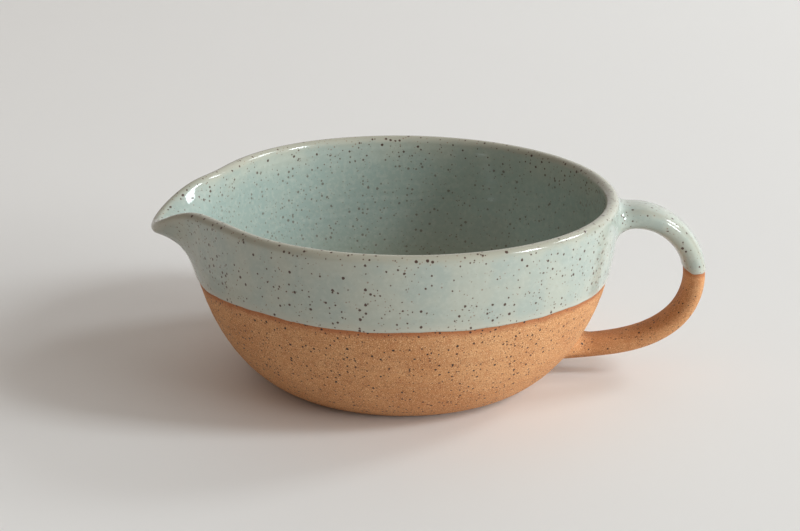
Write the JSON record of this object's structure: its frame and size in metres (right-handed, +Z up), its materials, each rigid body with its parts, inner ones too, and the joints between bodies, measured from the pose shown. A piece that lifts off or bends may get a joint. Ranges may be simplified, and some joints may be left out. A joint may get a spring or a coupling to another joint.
{
  "type": "batter bowl",
  "caption": "Round stoneware mixing bowl with a pinched pouring spout and a pulled strap handle, glazed inside and over the upper wall, bare clay below.",
  "frame": {"origin": "centre of the foot ring, on the table, on the bowl's axis", "axes": "+Z up along the bowl's axis, +X out along the handle; the spout points to about -X, five degrees round towards -Y"},
  "size_m": [0.2452, 0.1906, 0.084],
  "materials": {
    "stoneware": "bare toasted stoneware with dark iron specks, sandy and matte",
    "glaze": "glossy pale celadon glaze with dark iron specks"
  },
  "bodies": {
    "root": {"bowl_body": "stoneware", "handle": "stoneware", "handle_upper_weld": "stoneware", "handle_lower_weld": "stoneware", "liner_glaze": "glaze", "band_glaze": "glaze", "handle_glaze": "glaze"}
  },
  "joints": []
}
